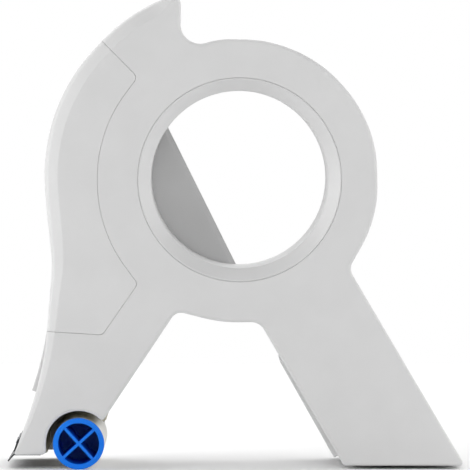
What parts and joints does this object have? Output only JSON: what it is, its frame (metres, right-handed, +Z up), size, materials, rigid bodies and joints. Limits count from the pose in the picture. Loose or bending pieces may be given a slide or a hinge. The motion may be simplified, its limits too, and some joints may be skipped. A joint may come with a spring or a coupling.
{
  "type": "masking tape applicator",
  "caption": "R-shaped hand tool for laying masking tape: a round hub for the roll, a grip with a press roller and a toothed blade at its foot, and a slanted rest leg.",
  "frame": {"origin": "centre of the bounding box at the height of the plane the tool stands on", "axes": "X from the cutting tip to the rest leg, Y along the hub and roller axes towards the far side, Z up"},
  "size_m": [0.1872, 0.06, 0.1947],
  "materials": {
    "near_shell": "fine satin moulded",
    "far_shell": "fine satin moulded",
    "grip_cover": "fine satin moulded",
    "leg_cover": "fine satin moulded",
    "hub_bezel": "satin",
    "core_hub": "satin",
    "hub_ring": "spring steel",
    "roller_core": "semi gloss",
    "roller_sleeve": "matt, off white",
    "roller_bush_1": "smooth",
    "roller_bush_2": "smooth",
    "roller_axle": "turned",
    "axle_screw": "plated",
    "roller_hood": "dark moulded",
    "nose_block": "dark moulded",
    "blade": "dark spring steel",
    "front_clip": "dark spring steel",
    "blade_screw_1": "plated",
    "blade_screw_2": "plated",
    "clip_screw_1": "plated",
    "clip_screw_2": "plated",
    "shell_screw_1": "plated",
    "shell_screw_2": "plated",
    "shell_screw_3": "plated",
    "shell_screw_4": "plated",
    "shell_screw_5": "plated",
    "shell_screw_6": "plated"
  },
  "bodies": {
    "frame": {"near_shell": "near_shell", "far_shell": "far_shell", "grip_cover": "grip_cover", "leg_cover": "leg_cover", "roller_hood": "roller_hood", "nose_block": "nose_block", "blade": "blade", "front_clip": "front_clip", "blade_screw_1": "blade_screw_1", "blade_screw_2": "blade_screw_2", "clip_screw_1": "clip_screw_1", "clip_screw_2": "clip_screw_2", "shell_screw_1": "shell_screw_1", "shell_screw_2": "shell_screw_2", "shell_screw_3": "shell_screw_3", "shell_screw_4": "shell_screw_4", "shell_screw_5": "shell_screw_5", "shell_screw_6": "shell_screw_6", "roller_axle": "roller_axle", "axle_screw": "axle_screw"},
    "press_roller": {"roller_core": "roller_core", "roller_sleeve": "roller_sleeve", "roller_bush_1": "roller_bush_1", "roller_bush_2": "roller_bush_2"},
    "hub": {"hub_bezel": "hub_bezel", "hub_ring": "hub_ring"},
    "core_drum": {"core_hub": "core_hub"}
  },
  "joints": [
    {"name": "press_roller_spin", "type": "hinge", "parent": "frame", "child": "press_roller", "pos_m": [-0.06426, 0, 0.01054], "axis": [0, 1, 0], "continuous": true},
    {"name": "hub_slide", "type": "slide", "parent": "frame", "child": "hub", "axis": [0, -1, 0], "range_m": [0, 0.056]},
    {"name": "core_hub_spin", "type": "hinge", "parent": "hub", "child": "core_drum", "pos_m": [0.00194, 0, 0.119], "axis": [0, 1, 0], "continuous": true}
  ]
}
